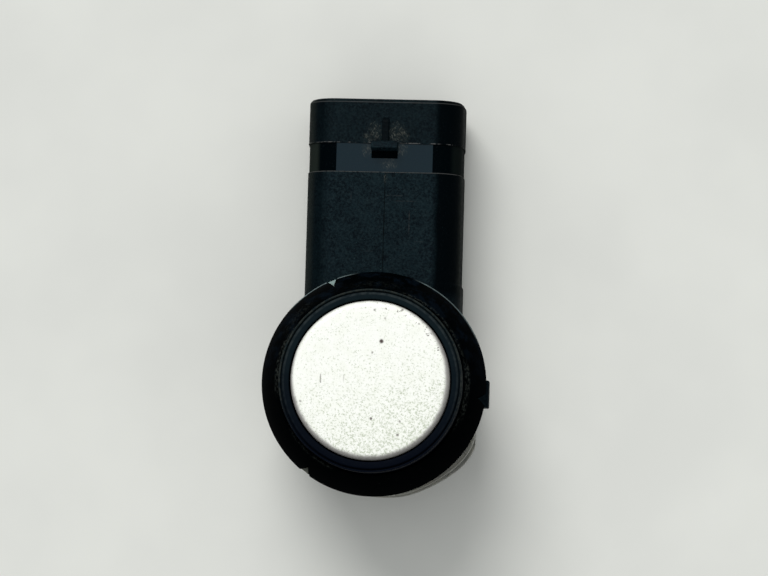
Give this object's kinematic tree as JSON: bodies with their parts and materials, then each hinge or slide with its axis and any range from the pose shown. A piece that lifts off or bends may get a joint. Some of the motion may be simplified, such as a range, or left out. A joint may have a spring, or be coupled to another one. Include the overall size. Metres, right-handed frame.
{
  "type": "parking sensor",
  "caption": "Ultrasonic parking sensor: round painted membrane in a conical black head with a clear seal ring, and a plug socket on its side.",
  "frame": {"origin": "on the axis of the sensing head, at the flat back face that the sensor lies on", "axes": "+Z along the head's axis towards the sensing face, +Y along the plug socket towards its mouth, +X to the right seen from the sensing face with the socket up"},
  "size_m": [0.0228, 0.0415, 0.0234],
  "materials": {
    "housing_plastic": "matte, finely grained",
    "gloss_plastic": "glossy, dusty",
    "painted_metal": "smooth paint with fine dark specks",
    "dark_silicone": "matte",
    "clear_silicone": "see-through, soft",
    "piezo_ceramic": "fired, silvered",
    "absorber_foam": "foam",
    "potting_compound": "cast",
    "board_laminate": "solder mask",
    "chip_resin": "moulded",
    "tinned_metal": "tinned",
    "copper_wire": "enamelled",
    "ferrite": "sintered",
    "capacitor_body": "fired"
  },
  "bodies": {
    "root": {"absorber_pad": "absorber_foam", "buffer_capacitor": "capacitor_body", "chip_capacitor_1": "capacitor_body", "chip_capacitor_2": "capacitor_body", "chip_capacitor_3": "capacitor_body", "chip_capacitor_4": "capacitor_body", "chip_resistor_1": "chip_resin", "chip_resistor_2": "chip_resin", "chip_resistor_3": "chip_resin", "chip_resistor_4": "chip_resin", "circuit_board": "board_laminate", "contact_carrier": "chip_resin", "contact_pin_1": "tinned_metal", "contact_pin_2": "tinned_metal", "control_chip": "chip_resin", "decoupling_ring": "dark_silicone", "diode": "chip_resin", "housing": "housing_plastic", "piezo_disc": "piezo_ceramic", "plug_terminal_1": "tinned_metal", "plug_terminal_2": "tinned_metal", "plug_terminal_3": "tinned_metal", "potting_plug": "potting_compound", "rear_cover": "housing_plastic", "retaining_ring": "gloss_plastic", "seal_ring": "clear_silicone", "transducer_cup": "painted_metal", "transducer_lead_1": "copper_wire", "transducer_lead_2": "copper_wire", "transformer_base": "chip_resin", "transformer_core": "ferrite", "transformer_shield": "ferrite", "transformer_winding": "copper_wire"}
  },
  "joints": []
}
